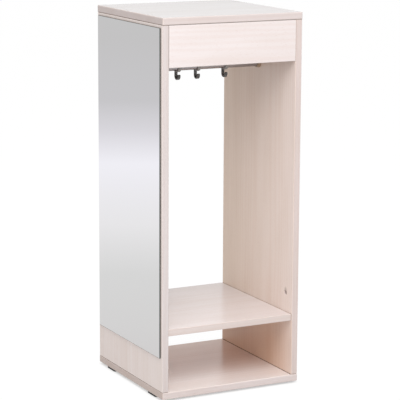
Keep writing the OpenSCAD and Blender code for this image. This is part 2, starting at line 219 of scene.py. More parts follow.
def pool_of_light(tree):
    """The paper's tone: white to the camera, the pool to a reflection."""
    place = add(tree, "ShaderNodeTexCoord").outputs["Object"]
    distance = add(tree, "ShaderNodeVectorMath", {0: place},
                   operation="LENGTH").outputs["Value"]
    share = add(tree, "ShaderNodeMath", {0: distance, 1: FLOOR_RADIUS}, operation="DIVIDE")
    pool = add(tree, "ShaderNodeValToRGB", {"Fac": share.outputs[0]},
               stops=[(metres / FLOOR_RADIUS, linear(tone)) for metres, tone in POOL])
    return add(tree, "ShaderNodeMix", {
        MIX_FACTOR: seen_by(tree, "Is Camera Ray"), MIX_A: pool.outputs["Color"],
        MIX_B: WHITE}, data_type="RGBA").outputs[MIX_RESULT]


print("the pool of light fades from", POOL[4][0], "to", POOL[6][0], "m")

# %% [markdown]
# ## The studio: the floor
# A floor that is lit until it is white would hide the unit's shadow and burn the unit out.
# So each point of the paper is two things at once: most of it is plain white to the camera,
# and the rest is a matt sheet that takes the real shadow. Close to the unit the white share
# is smaller, because there the contact shadow tells that the unit stands on the floor.
# Ambient occlusion, which measures how much of the sky a point sees, finds that place.

# %% Floor
FLOOR_SIDES = 128
FLOOR_DROP = 0.05 * MM       # the glides' faces and the floor would flicker if they were one
PAPER_TONE = "E8E7E6"
PAPER_STRENGTH = 1.04
PAPER_SHARE = 0.92           # the white share in the open
CONTACT_SHARE = 0.45         # the white share at the unit
CONTACT_REACH = 10.0 * MM
CONTACT_SKY = 0.4            # the part of the sky that is seen where the unit stands
SKY_SAMPLES = 8


def studio_paper():
    """Paper, pressed and uncoated, which gives the eye an even matt white without a sheen."""
    material, tree, output = new_material("studio_paper")
    white = add(tree, "ShaderNodeEmission",
                {"Color": pool_of_light(tree), "Strength": PAPER_STRENGTH})
    matt = add(tree, "ShaderNodeBsdfDiffuse", {"Color": linear(PAPER_TONE)})
    open_sky = add(tree, "ShaderNodeAmbientOcclusion", {"Distance": CONTACT_REACH},
                   samples=SKY_SAMPLES)
    share = add(tree, "ShaderNodeMapRange", {
        "Value": open_sky.outputs["AO"], "From Min": CONTACT_SKY, "From Max": 1.0,
        "To Min": CONTACT_SHARE, "To Max": PAPER_SHARE})
    seen = seen_by(tree, "Is Camera Ray", "Is Glossy Ray")
    share = add(tree, "ShaderNodeMath", {0: seen, 1: share.outputs[0]}, operation="MULTIPLY")
    mixed = add(tree, "ShaderNodeMixShader",
                {0: share.outputs[0], 1: matt.outputs[0], 2: white.outputs[0]})
    tree.links.new(mixed.outputs[0], output.inputs["Surface"])
    return material


def make_floor():
    mesh = bpy.data.meshes.new("studio_floor")
    shape = bmesh.new()
    bmesh.ops.create_circle(shape, cap_ends=True, segments=FLOOR_SIDES, radius=FLOOR_RADIUS)
    shape.to_mesh(mesh)
    shape.free()
    mesh.materials.append(studio_paper())
    floor = bpy.data.objects.new("studio_floor", mesh)
    floor.location.z = -FLOOR_DROP
    bpy.context.scene.collection.objects.link(floor)


make_floor()
print("floor", 2 * FLOOR_RADIUS, "m wide")

# %% [markdown]
# ## The studio: lamps
# The shadow of the apron on the right side falls at about 47 degrees, and its edge is soft.
# So the main light is a large square softbox in front of the unit and above it. A weaker
# one at the left lifts the side with the mirror. That one is kept out of reflections, or a
# bright square would hang in the mirror, which shows only the floor and white.

# %% Lamps
SOFTBOX_DISTANCE = 4.0       # metres
SOFTBOX_SIZE = 2.4           # metres
# Name, azimuth and elevation in degrees, watts, and whether it is seen in reflections
LAMPS = [
    ("main_softbox", -16.0, 47.0, 90.0, True),
    ("left_softbox", -62.0, 22.0, 26.5, False),
]


def make_lamp(name, azimuth, elevation, watts, reflected):
    """A square softbox that faces the middle of the unit."""
    softbox = bpy.data.lights.new(name, "AREA")
    softbox.size = SOFTBOX_SIZE
    softbox.energy = watts
    towards = way_out(math.radians(azimuth), math.radians(elevation))
    lamp = bpy.data.objects.new(name, softbox)
    bpy.context.scene.collection.objects.link(lamp)
    lamp.location = VIEW_TARGET + towards * SOFTBOX_DISTANCE
    lamp.rotation_euler = towards.to_track_quat("Z", "Y").to_euler()
    lamp.visible_camera = False
    lamp.visible_glossy = reflected


for lamp in LAMPS:
    make_lamp(*lamp)
print(len(LAMPS), "softboxes,", SOFTBOX_SIZE, "m wide,", SOFTBOX_DISTANCE, "m away")

# %% [markdown]
# ## White-glazed beech: its figure
# Every board is beech, planed and sanded, under a thin white glaze and a clear lacquer. The
# glaze hides most of the reddish wood but not its figure: faint growth rings, and the short
# dark flecks that beech is known by. An image could show this, but it would break at the
# edges.
# A solid pattern is better: the rings run round a pith that lies outside the board, so the
# broad faces show long flat figure and the cut ends show arcs, and both meet at the corners
# as in real timber.

# %% Patterns in the wood
RING_WIDTH = 7.0 * MM        # real beech has 2 to 4 mm; wider here, so that a ring shows
RING_LENGTH = 300.0 * MM     # rings waver over about this length of the board
RING_WAVER = {"Distortion": 9.0, "Detail": 2.0, "Detail Scale": 0.35}
WAVE_TURN = 2 * math.pi / 20   # the wave texture has one ring in this much of its length
# Across and along the grain (mm), and detail. Real flecks are 0.5 mm wide and fibres finer,
# and both are drawn wider, or they would vanish. The cloud is where the glaze lies thicker.
PATTERNS = {"cloud": (45.0, 300.0, 3.0), "fleck": (1.2, 9.0, 1.0), "fibre": (0.5, 14.0, 2.0)}


def stretch(grain, across, along):
    """Scale numbers for a pattern that is across wide, and along long in the grain."""
    scale = [1 / across] * 3
    scale["XYZ".index(grain)] = 1 / along
    return scale


def streaks(tree, place, grain, across, along, detail=2.0):
    """Cloudy noise in streaks along the grain, of this width and length in mm."""
    drawn_out = add(tree, "ShaderNodeMapping", {
        "Vector": place, "Scale": stretch(grain, across * MM, along * MM)})
    return add(tree, "ShaderNodeTexNoise", {
        "Vector": drawn_out.outputs[0], "Scale": 1.0, "Detail": detail}).outputs["Fac"]


def beech_figure(tree, place, grain, pith):
    """The sockets of beech's patterns, by name, round a tree's pith."""
    spot = add(tree, "ShaderNodeVectorMath", {0: place, 1: pith},
               operation="SUBTRACT").outputs[0]
    figure = {name: streaks(tree, spot, grain, *size) for name, size in PATTERNS.items()}
    drawn_out = add(tree, "ShaderNodeMapping", {
        "Vector": spot, "Scale": stretch(grain, RING_WIDTH / WAVE_TURN, RING_LENGTH)})
    figure["rings"] = add(
        tree, "ShaderNodeTexWave", {"Vector": drawn_out.outputs[0], "Scale": 1.0, **RING_WAVER},
        wave_type="RINGS", rings_direction=grain, wave_profile="SIN").outputs["Fac"]
    return figure


print("beech:", RING_WIDTH / MM, "mm rings and", len(PATTERNS), "finer patterns")

# %% [markdown]
# ## White-glazed beech: its tones
# No two boards of a tree are alike, and each side of a board takes the glaze in its own way:
# the broad faces stay palest, the long edges are a little darker, and the cut ends drink
# most of it. The tones could be painted on by hand, but the way that a surface faces
# already tells the sides apart. So a board's tone is a list of layers, each for one
# direction, and a later layer covers an earlier one.

# %% Tones by direction
FACING_FROM, FACING_FULL = 0.6, 0.9   # cosine to the direction, where a layer starts and is full


def layered_tone(tree, normal, first, layers):
    """The first tone, covered by each layer's tone where the surface faces its way. Z stands
    for both ways along that axis, +Z and -Z for one."""
    tone = linear(first)
    for way, shade in layers:
        axis = [0.0, 0.0, 0.0]
        axis["XYZ".index(way[-1])] = -1.0 if way[0] == "-" else 1.0
        facing = add(tree, "ShaderNodeVectorMath", {0: normal, 1: axis},
                     operation="DOT_PRODUCT").outputs["Value"]
        if len(way) == 1:
            facing = add(tree, "ShaderNodeMath", {0: facing}, operation="ABSOLUTE").outputs[0]
        share = add(tree, "ShaderNodeMapRange", {
            "Value": facing, "From Min": FACING_FROM, "From Max": FACING_FULL})
        tone = add(tree, "ShaderNodeMix", {
            MIX_FACTOR: share.outputs[0], MIX_A: tone, MIX_B: linear(shade)},
            data_type="RGBA").outputs[MIX_RESULT]
    return tone


print("a side gets its tone within", round(math.degrees(math.acos(FACING_FULL))), "degrees")

# %% [markdown]
# ## White-glazed beech: painted shade in the two bays
# Deep in the low bay the boards are painted darker and warmer from the front to the back:
# painted shade, for the dim, warm light that bounces about under the shelf. In the tall
# garment bay the boards are painted darker towards the back, and the wall a little warmer:
# painted shade as well, where less light comes in from the front. Both could be masks
# painted on each board. A measure of how deep a point lies in its bay does the same for all
# boards at once, and it leaves the outer faces alone. Both bays' boxes come from the boards
# that close them.

# %% Depth in a bay
BAY_DEPTH = 400.0 * MM
BAY_OVERLAP = Vector((2.0, 0.0, 0.5)) * MM   # a bay's box reaches this far into its boards
BAY_FRONT, BAY_BACK = 1.0, -1.0
OUTSIDE = 5.0                # added outside a bay, where it makes any depth more than the front's
# Painted shade in the low bay: the depths between which it comes in, and its shade
NO_LOW_BAY_SHADE, LOW_BAY_SHADE = (1.0, 0.4, "FFFFFF"), (1.0, 0.4, "FFECE1")
LOW_WALL_SHADE, LOW_BASE_SHADE = (1.3, 0.4, "FAE4CF"), (0.6, -0.4, "F8E6DB")
# Painted shade at the back of the garment bay
NO_GARMENT_BAY_SHADE, BACK_WALL_SHADE, BACK_SHELF_SHADE = "FFFFFF", "FFFBF0", "EAEAEA"


def bay(floor, ceiling):
    """Middle and half sizes of the bay between two boards; its depth counts forwards."""
    low = Vector((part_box("left_side_panel")[1].x, -BAY_DEPTH / 2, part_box(floor)[1].z))
    high = Vector((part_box("right_side_panel")[0].x, BAY_DEPTH / 2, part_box(ceiling)[0].z))
    half = (high - low) / 2 + BAY_OVERLAP
    return (low + high) / 2, Vector((half.x, -half.y, half.z))


def depth_in(tree, place, bay_box):
    """1 at the front of a bay, -1 at its back and 3 or more outside it."""
    middle, half = bay_box
    spot = add(tree, "ShaderNodeVectorMath", {0: place, 1: middle}, operation="SUBTRACT")
    spot = add(tree, "ShaderNodeVectorMath", {0: spot.outputs[0], 1: half},
               operation="DIVIDE").outputs[0]
    depth = add(tree, "ShaderNodeSeparateXYZ", {0: spot}).outputs[1]
    size = add(tree, "ShaderNodeVectorMath", {0: spot}, operation="ABSOLUTE").outputs[0]
    parts = add(tree, "ShaderNodeSeparateXYZ", {0: size}).outputs
    reach = add(tree, "ShaderNodeMath", {0: parts[0], 1: parts[2]},
                operation="MAXIMUM").outputs[0]
    outside = add(tree, "ShaderNodeMath", {0: reach, 1: 1.0},
                  operation="GREATER_THAN").outputs[0]
    return add(tree, "ShaderNodeMath", {0: outside, 1: OUTSIDE, 2: depth},
               operation="MULTIPLY_ADD").outputs[0]


LOW_BAY, GARMENT_BAY = bay("base_panel", "shelf"), bay("shelf", "top_panel")
print("bays", [round(2 * half.z / MM) for middle, half in (LOW_BAY, GARMENT_BAY)], "mm high")

# %% [markdown]
# ## White-glazed beech: wear and a grey mark
# Hands wear the glaze off the arrises, the rounded corners of a board, until the wood shows.
# Apart from bores, nothing else on a board faces between two axes, so the normal finds them,
# and the cloud in the glaze makes the wear uneven. The other mark is a grey oval painted
# round the bore that links this unit to the next one, mostly above it. Its place is an oval
# that is measured from the bore.

# %% Worn arrises and the grey mark at the bore
WORN_TONE = "E6D5CA"
WORN_MOST = 0.55             # share of the worn tone in the middle of an arris
FLAT, ROUNDED = 0.97, 0.80   # the normal's largest part, where wear starts and is full
BORE_MARK_SHADE = "D6D4D3"
BORE_MARK_HALF = Vector((0.6, 9.0, 14.0)) * MM
BORE_MARK_SHIFT = Vector((0.0, -0.5, 4.0)) * MM    # from the bore to the mark's middle
BORE_MARK_FULL = 0.6               # the measure at which the mark is full


def worn_arrises(tree, tone, normal, cloud):
    """The tone, with wood showing where the normal follows no axis of the board."""
    size = add(tree, "ShaderNodeVectorMath", {0: normal}, operation="ABSOLUTE").outputs[0]
    largest, *others = add(tree, "ShaderNodeSeparateXYZ", {0: size}).outputs
    for part in others:
        largest = add(tree, "ShaderNodeMath", {0: largest, 1: part},
                      operation="MAXIMUM").outputs[0]
    worn = add(tree, "ShaderNodeMapRange", {
        "Value": largest, "From Min": FLAT, "From Max": ROUNDED, "To Max": WORN_MOST})
    worn = add(tree, "ShaderNodeMath", {0: worn.outputs[0], 1: cloud}, operation="MULTIPLY")
    return add(tree, "ShaderNodeMix", {
        MIX_FACTOR: worn.outputs[0], MIX_A: tone, MIX_B: linear(WORN_TONE)},
        data_type="RGBA").outputs[MIX_RESULT]


def bore_mark(tree, place):
    """1 in the middle of the grey mark round the bore and 0 outside it."""
    bore = next(m for m in frame["record"]["mounts"] if m["name"] == "linking_bore")["pos_m"]
    middle = Vector((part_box("right_side_panel")[0].x, bore[1], bore[2])) + BORE_MARK_SHIFT
    spot = add(tree, "ShaderNodeVectorMath", {0: place, 1: middle}, operation="SUBTRACT")
    spot = add(tree, "ShaderNodeVectorMath", {0: spot.outputs[0], 1: BORE_MARK_HALF},
               operation="DIVIDE")
    reach = add(tree, "ShaderNodeVectorMath", {0: spot.outputs[0]}, operation="LENGTH")
    return add(tree, "ShaderNodeMath", {0: 1.0, 1: reach.outputs["Value"]},
               operation="SUBTRACT", use_clamp=True).outputs[0]


# A grey oval painted round the linking bore, mostly above it
print("rub mark", [round(2 * v / MM) for v in BORE_MARK_HALF[1:]], "mm over the linking bore")

# %% [markdown]
# ## White-glazed beech: the finished material
# Where two boards meet, a thin dark line is what makes separate boards read as separate. It
# is painted shade in the open joint, and on the side with the mirror also the painted shadow
# under the mirror's edge. It could be cut as a groove, but here it is colour and not shape,
# so ambient occlusion over a few millimetres finds it. All that darkens a board is multiplied
# over its tone, one shade after the other. The lacquer on top is half gloss: in the picture
# the rear edge of the right side is mirrored in the shelf and in the base board, which a
# satin lacquer wouldn't do. Fibres and flecks still stand out in it.

# %% Glazed beech
# Painted shade in an open joint: its shade, and how far it reaches (mm)
DEEP_LINE, BASE_LINE, FINE_LINE = ("5F4C3F", 1.6), ("6E4527", 2.4), ("BBA691", 1.6)
# The left side's line: painted shade in its joints and the painted shadow below the mirror
MIRROR_LINE = ("BBADA3", 3.0)
JOINT_RIM, JOINT_CORE = 0.9, 0.5   # the part of the sky that is seen at a joint and inside it
LACQUER_IOR = 1.5
LACQUER_SMOOTH, LACQUER_ROUGH = 0.20, 0.28
# What the patterns do to a tone: the values between which each comes in, and its shade
RING_LOOK, CLOUD_LOOK = (0.25, 0.85, "FDFBFA"), (0.35, 0.70, "FAF8F6")
FLECK_LOOK = 0.62, 0.76, "F7F1EE"
FIBRE_RELIEF = {"Strength": 0.25, "Distance": 0.06 * MM}
FLECK_RELIEF = {"Strength": 0.3, "Distance": 0.05 * MM}


def darkened(tree, tone, shades):
    """The tone, multiplied by each shade. A shade comes after its measure and the values of
    it between which it comes in."""
    for measure, start, full, shade in shades:
        share = add(tree, "ShaderNodeMapRange", {
            "Value": measure, "From Min": start, "From Max": full})
        tone = add(tree, "ShaderNodeMix", {
            MIX_FACTOR: share.outputs[0], MIX_A: tone, MIX_B: linear(shade)},
            data_type="RGBA", blend_type="MULTIPLY").outputs[MIX_RESULT]
    return tone


def glazed_beech(name, grain, pith, edge_tone, layers, joint_line, low_bay_shade=NO_LOW_BAY_SHADE, garment_bay_shade=NO_GARMENT_BAY_SHADE):
    """Planed beech under a sprayed white glaze and a half-gloss lacquer, which give the eye
    pale wood with a soft reflection. The two bay shades are painted shade deep in a bay."""
    material, tree, output = new_material(name)
    coords = add(tree, "ShaderNodeTexCoord").outputs
    place, normal = coords["Object"], coords["Normal"]
    figure = beech_figure(tree, place, grain, pith)
    joint_shade, joint_reach = joint_line
    joint = add(tree, "ShaderNodeAmbientOcclusion", {"Distance": joint_reach * MM},
                samples=SKY_SAMPLES)

    tone = layered_tone(tree, normal, edge_tone, layers)
    tone = worn_arrises(tree, tone, normal, figure["cloud"])
    tone = darkened(tree, tone, [
        (figure["rings"], *RING_LOOK),
        (figure["cloud"], *CLOUD_LOOK),
        (figure["fleck"], *FLECK_LOOK),
        # Painted shade deep in the low bay and at the back of the garment bay
        (depth_in(tree, place, LOW_BAY), *low_bay_shade),
        (depth_in(tree, place, GARMENT_BAY), BAY_FRONT, BAY_BACK, garment_bay_shade),
        # A grey oval painted round the linking bore
        (bore_mark(tree, place), 0.0, BORE_MARK_FULL, BORE_MARK_SHADE),
        # Painted shade in the joints
        (joint.outputs["AO"], JOINT_RIM, JOINT_CORE, joint_shade),
    ])

    rough = add(tree, "ShaderNodeMapRange", {
        "Value": figure["fibre"], "To Min": LACQUER_SMOOTH, "To Max": LACQUER_ROUGH})
    fibres = add(tree, "ShaderNodeBump", {"Height": figure["fibre"], **FIBRE_RELIEF})
    flecks = add(tree, "ShaderNodeBump", {
        "Height": figure["fleck"], **FLECK_RELIEF, "Normal": fibres.outputs[0]})
    lacquer = add(tree, "ShaderNodeBsdfPrincipled", {
        "Base Color": tone, "Roughness": rough.outputs[0], "IOR": LACQUER_IOR,
        "Normal": flecks.outputs[0]})
    tree.links.new(lacquer.outputs[0], output.inputs["Surface"])
    return material


print("lacquer: roughness", LACQUER_SMOOTH, "to", LACQUER_ROUGH)

# %% [markdown]
# ## White-glazed beech: the seven boards
# One material for all boards would make them look sawn from one block. So each board has its
# own: its grain runs along the board, its pith lies where no other board's does, and the
# tone of each of its sides is set against the picture. Each has the line of painted shade
# that its joints show, and the boards of the bays name their painted bay shades as well.

# %% The boards
# Long edges take the edge tone; pith in metres. A bare letter in a layer is both ways along
# that axis.
# A one-way layer tones the face that looks into a bay warmer, and mostly lighter, than the board's
# outer face: painted light, for the warm light that bounces about inside.
BOARDS = {
    "top_panel": dict(
        grain="X", pith=(0.0, 0.06, 0.86), edge_tone="D6CBC9",
        layers=[("Z", "D3CFCF"), ("X", "C7BBB8")], joint_line=DEEP_LINE),
    "base_panel": dict(
        grain="X", pith=(0.0, -0.05, -0.16), edge_tone="DBD0CE",
        layers=[("Z", "E1D9D7"), ("+Z", "F2E9E6"), ("X", "C4B5AE")], joint_line=BASE_LINE,
        low_bay_shade=LOW_BASE_SHADE),
    "left_side_panel": dict(
        grain="Z", pith=(-0.36, 0.04, 0.0), edge_tone="D6CDCC",
        layers=[("X", "E3D8D4"), ("+X", "EBDDD5"), ("Z", "C5B8B3")], joint_line=MIRROR_LINE,
        low_bay_shade=LOW_BAY_SHADE),
    "right_side_panel": dict(
        grain="Z", pith=(0.38, -0.03, 0.0), edge_tone="D6C8C4",
        layers=[("X", "E1D9D7"), ("-X", "EDDFD8"), ("Z", "C5B8B3")], joint_line=FINE_LINE,
        low_bay_shade=LOW_WALL_SHADE, garment_bay_shade=BACK_WALL_SHADE),
    "shelf": dict(
        grain="X", pith=(0.0, 0.03, 0.04), edge_tone="DBCFCB",
        layers=[("Z", "EEE5E4"), ("X", "C5B8B3")], joint_line=FINE_LINE,
        low_bay_shade=LOW_BAY_SHADE, garment_bay_shade=BACK_SHELF_SHADE),
    "front_apron": dict(
        grain="X", pith=(0.0, -0.06, 0.90), edge_tone="D8CDCA",
        layers=[("Y", "E6DDDC"), ("+Y", "ECDCD0"), ("X", "C5B8B3")], joint_line=DEEP_LINE),
    "rear_apron": dict(
        grain="X", pith=(0.0, 0.07, 1.08), edge_tone="D8CDCA",
        layers=[("Y", "E1D9D7"), ("-Y", "ECDCD0"), ("X", "C5B8B3")], joint_line=DEEP_LINE),
}


def dress(material, *names):
    """Gives CAD nodes a material in place of the plain one that they arrive with."""
    for name in names:
        NODES[name].data.materials.clear()
        NODES[name].data.materials.append(material)


for name, look in BOARDS.items():
    dress(glazed_beech("glazed_beech_" + name, **look), name)
print(sum(len(look["layers"]) + 1 for look in BOARDS.values()), "tones on", len(BOARDS), "boards")

# %% [markdown]
# ## Silvered float glass
# The mirror is a 3 mm pane of float glass with silver and a grey paint on its back, held by
# foam tape. Clear glass over a silver sheet would be the literal way, but it is slow and
# noisy and looks the same from a step away. So one material does it by the way that each
# face looks: a near-perfect mirror on the front, with the slow waver of floated glass, and
# dark ground glass on the edges. The lowest millimetre of the front is painted dark as well:
# painted shade along the mirror's lower edge.

# %% Mirror
MIRROR_WAY = -0.85           # the front faces -X, so its normal lies below this along X
SHADE_RISE = 0.9 * MM         # how high the painted shade reaches from the lower edge
SILVER_TONE = "F4F4F4"
GROUND_TONES = "454948", "6C706E"
GROUND_ROUGHNESS, SILVER_ROUGHNESS = 0.35, 0.015
WAVER = 167.0                # mm; float glass is flat in the small and wavers over a hand
WAVER_RELIEF = {"Strength": 0.02, "Distance": 0.3 * MM}
GRIND = 0.4, 3.0             # mm; the wheel's scratches are finer and drawn coarser, to show


def silvered_glass():
    """Floated, silvered and ground glass: a clear image inside a dark rim."""
    material, tree, output = new_material("silvered_float_glass")
    coords = add(tree, "ShaderNodeTexCoord").outputs
    facing = add(tree, "ShaderNodeSeparateXYZ", {0: coords["Normal"]}).outputs[0]
    front = add(tree, "ShaderNodeMath", {0: facing, 1: MIRROR_WAY}, operation="LESS_THAN")
    height = add(tree, "ShaderNodeSeparateXYZ", {0: coords["Object"]}).outputs[2]
    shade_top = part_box("mirror_pane")[0].z + SHADE_RISE
    above_shade = add(tree, "ShaderNodeMath", {0: height, 1: shade_top}, operation="GREATER_THAN")
    silver = add(tree, "ShaderNodeMath", {0: front.outputs[0], 1: above_shade.outputs[0]},
                 operation="MULTIPLY").outputs[0]

    grind = streaks(tree, coords["Object"], "Z", *GRIND)
    tone = linear(GROUND_TONES[0])
    for share, other in ((grind, GROUND_TONES[1]), (silver, SILVER_TONE)):
        tone = add(tree, "ShaderNodeMix", {MIX_FACTOR: share, MIX_A: tone, MIX_B: linear(other)},
                   data_type="RGBA").outputs[MIX_RESULT]
    rough = add(tree, "ShaderNodeMapRange", {
        "Value": silver, "To Min": GROUND_ROUGHNESS, "To Max": SILVER_ROUGHNESS})
    waver = streaks(tree, coords["Object"], "Z", WAVER, WAVER)
    ripple = add(tree, "ShaderNodeBump", {"Height": waver, **WAVER_RELIEF})
    glass = add(tree, "ShaderNodeBsdfPrincipled", {
        "Base Color": tone, "Metallic": silver, "Roughness": rough.outputs[0],
        "Normal": ripple.outputs[0]})
    tree.links.new(glass.outputs[0], output.inputs["Surface"])
    return material


dress(silvered_glass(), "mirror_pane")

# %% [markdown]
# ## Foam tape
# The tape behind the mirror is white closed-cell foam, and only its thin edge could ever be
# seen. A plain white would look like a gap in the light. Cells from a Voronoi pattern, each
# with a dent, give it the dull crumbly edge of cut foam.

# %% Tape
FOAM_CELL = 0.8 * MM         # real cells are a third of this, and would vanish
FOAM_TONES = "E9E9E4", "C9C9C3"
FOAM_ROUGHNESS, FOAM_IOR = 0.9, 1.45
FOAM_DENTS = {"Strength": 0.5, "Distance": 0.1 * MM}


def foam_tape():
    """Blown and sliced foam: matt and white, with small open dents where cells are cut."""
    material, tree, output = new_material("closed_cell_foam")
    place = add(tree, "ShaderNodeTexCoord").outputs["Object"]
    cells = add(tree, "ShaderNodeTexVoronoi",
                {"Vector": place, "Scale": 1 / FOAM_CELL}).outputs["Distance"]
    tone = add(tree, "ShaderNodeMix", {
        MIX_FACTOR: cells, MIX_A: linear(FOAM_TONES[0]), MIX_B: linear(FOAM_TONES[1])},
        data_type="RGBA")
    dents = add(tree, "ShaderNodeBump", {"Height": cells, **FOAM_DENTS})
    foam = add(tree, "ShaderNodeBsdfPrincipled", {
        "Base Color": tone.outputs[MIX_RESULT], "Roughness": FOAM_ROUGHNESS, "IOR": FOAM_IOR,
        "Normal": dents.outputs[0]})
    tree.links.new(foam.outputs[0], output.inputs["Surface"])
    return material


dress(foam_tape(), "mirror_tape")

# %% [markdown]
# ## Drawn steel
# The rail is a steel tube that was pulled through a die, darkened and left satin. The die
# leaves hairlines along the tube, so its highlight is long and soft. Fine grooves in the
# mesh would do that too, at the price of a million faces. A noise that is stretched along
# the tube, in the roughness and the tone, looks the same. The screws are cold-formed and
# plated with zinc, which is paler, and the same function makes them with upright hairlines.

# %% Rail and screws
# Across and along the grain (mm), and detail; real hairlines are far finer and drawn wider
HAIRLINE = 0.5, 60.0, 4.0
HAIRLINE_SHINE, HAIRLINE_DULL = 0.06, 0.08   # how far the lines change the roughness
HAIRLINE_GROOVES = {"Strength": 0.15, "Distance": 0.03 * MM}
NOISE_RANGE = {"From Min": 0.3, "From Max": 0.7}   # noise seldom leaves it
RAIL_TONES, RAIL_ROUGHNESS = ("A19D9F", "B5B1B3"), 0.34
ZINC_TONES, ZINC_ROUGHNESS = ("B9BCC0", "D0D2D4"), 0.28


def drawn_steel(name, tones, grain, roughness):
    """Steel that was drawn or formed along the grain axis, with a soft streaky highlight."""
    material, tree, output = new_material(name)
    place = add(tree, "ShaderNodeTexCoord").outputs["Object"]
    lines = streaks(tree, place, grain, *HAIRLINE)
    rough = add(tree, "ShaderNodeMapRange", {
        "Value": lines, **NOISE_RANGE,
        "To Min": roughness - HAIRLINE_SHINE, "To Max": roughness + HAIRLINE_DULL})
    tone = add(tree, "ShaderNodeMix", {
        MIX_FACTOR: lines, MIX_A: linear(tones[0]), MIX_B: linear(tones[1])},
        data_type="RGBA")
    grooves = add(tree, "ShaderNodeBump", {"Height": lines, **HAIRLINE_GROOVES})
    steel = add(tree, "ShaderNodeBsdfPrincipled", {
        "Base Color": tone.outputs[MIX_RESULT], "Metallic": 1.0, "Roughness": rough.outputs[0],
        "Normal": grooves.outputs[0]})
    tree.links.new(steel.outputs[0], output.inputs["Surface"])
    return material


dress(drawn_steel("drawn_steel_dark", RAIL_TONES, "X", RAIL_ROUGHNESS), "hanging_rail")
dress(drawn_steel("zinc_plated_steel", ZINC_TONES, "Z", ZINC_ROUGHNESS),
      "glide_screws", "carcass_screws", "rail_socket_screws")

# %% [markdown]
# ## Moulded nylon
# The hooks are charcoal nylon and the glides black nylon, both coloured all through and
# moulded. The mould leaves a faint orange peel, which breaks the highlight up. The rings of
# the hooks are painted paler, a painted highlight where the light catches their tops, and the
# floor has dulled the glides. The height of a point is enough to find the rings, and the
# peel's own noise makes the painted highlight patchy, because only its raised parts are paler.

# %% Hooks and glides
RAIL_LOW, RAIL_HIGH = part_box("hanging_rail")
RAIL_AXIS = (RAIL_LOW.z + RAIL_HIGH.z) / 2
# A painted highlight on the hooks' rings: its tone, and the height over which it fades in
RING_HIGHLIGHT_TONE = "C9C8C6"
RING_HIGHLIGHT_FADE = 6.0 * MM
NYLON_IOR = 1.53
PEEL_DETAIL = 2.0
PEEL_SHINE, PEEL_DULL = 0.05, 0.07   # how far the peel changes the roughness
PEEL_RELIEF = {"Strength": 0.2, "Distance": 0.05 * MM}
HOOK_TONE, HOOK_ROUGHNESS, HOOK_PEEL = "646565", 0.36, 0.9 * MM
HOOK_HIGHLIGHT_FROM = RAIL_AXIS - 9.0 * MM
GLIDE_TONE, GLIDE_ROUGHNESS, GLIDE_PEEL = "141516", 0.6, 1.4 * MM


def moulded_nylon(name, tone, roughness, peel, highlight_above):
    """Nylon with a mould's orange peel, which gives the eye a broken, waxy highlight. Above
    a height it is painted paler, a painted highlight; a piece that ends below that height has
    none."""
    material, tree, output = new_material(name)
    place = add(tree, "ShaderNodeTexCoord").outputs["Object"]
    skin = add(tree, "ShaderNodeTexNoise",
               {"Vector": place, "Scale": 1 / peel, "Detail": PEEL_DETAIL}).outputs["Fac"]
    rough = add(tree, "ShaderNodeMapRange", {
        "Value": skin, **NOISE_RANGE,
        "To Min": roughness - PEEL_SHINE, "To Max": roughness + PEEL_DULL})
    height = add(tree, "ShaderNodeSeparateXYZ", {0: place}).outputs[2]
    painted_highlight = add(tree, "ShaderNodeMapRange", {
        "Value": height, "From Min": highlight_above - RING_HIGHLIGHT_FADE, "From Max": highlight_above})
    painted_highlight = add(tree, "ShaderNodeMath", {0: painted_highlight.outputs[0], 1: skin}, operation="MULTIPLY")
    tone = add(tree, "ShaderNodeMix", {
        MIX_FACTOR: painted_highlight.outputs[0], MIX_A: linear(tone), MIX_B: linear(RING_HIGHLIGHT_TONE)},
        data_type="RGBA")
    orange_peel = add(tree, "ShaderNodeBump", {"Height": skin, **PEEL_RELIEF})
    nylon = add(tree, "ShaderNodeBsdfPrincipled", {
        "Base Color": tone.outputs[MIX_RESULT], "Roughness": rough.outputs[0],
        "IOR": NYLON_IOR, "Normal": orange_peel.outputs[0]})
    tree.links.new(nylon.outputs[0], output.inputs["Surface"])
    return material


dress(moulded_nylon("moulded_nylon_polished", HOOK_TONE, HOOK_ROUGHNESS, HOOK_PEEL, HOOK_HIGHLIGHT_FROM),
      "hook_left", "hook_middle", "hook_right")
dress(moulded_nylon("moulded_nylon_matt", GLIDE_TONE, GLIDE_ROUGHNESS, GLIDE_PEEL, RAIL_AXIS),
      "glide_front_left", "glide_front_right", "glide_rear_left", "glide_rear_right")
# The paler rings are a painted highlight
print("hooks scuffed above", round(HOOK_HIGHLIGHT_FROM / MM), "mm, where the rail carries them")

# %% [markdown]
# ## Beech without glaze
# The rail's sockets are turned from beech and only lacquered, and the dowels are left raw.
# Here the wood itself shows, warm and tan, with its dark flecks. Rings would hardly show on
# pieces this small, so one pattern of flecks along the grain is enough, in the tone and as
# shallow pores.

# %% Sockets
POROUS_FLECK = 0.6, 3.0      # mm, the real size
FLECK_RANGE = {"From Min": 0.45, "From Max": 0.75}   # the noise that shows as a fleck
OPEN_PORES = {"Strength": 0.3, "Distance": 0.05 * MM}
BEECH_IOR = 1.5
TURNED_TONES, TURNED_ROUGHNESS = ("B49C84", "937A62"), 0.35


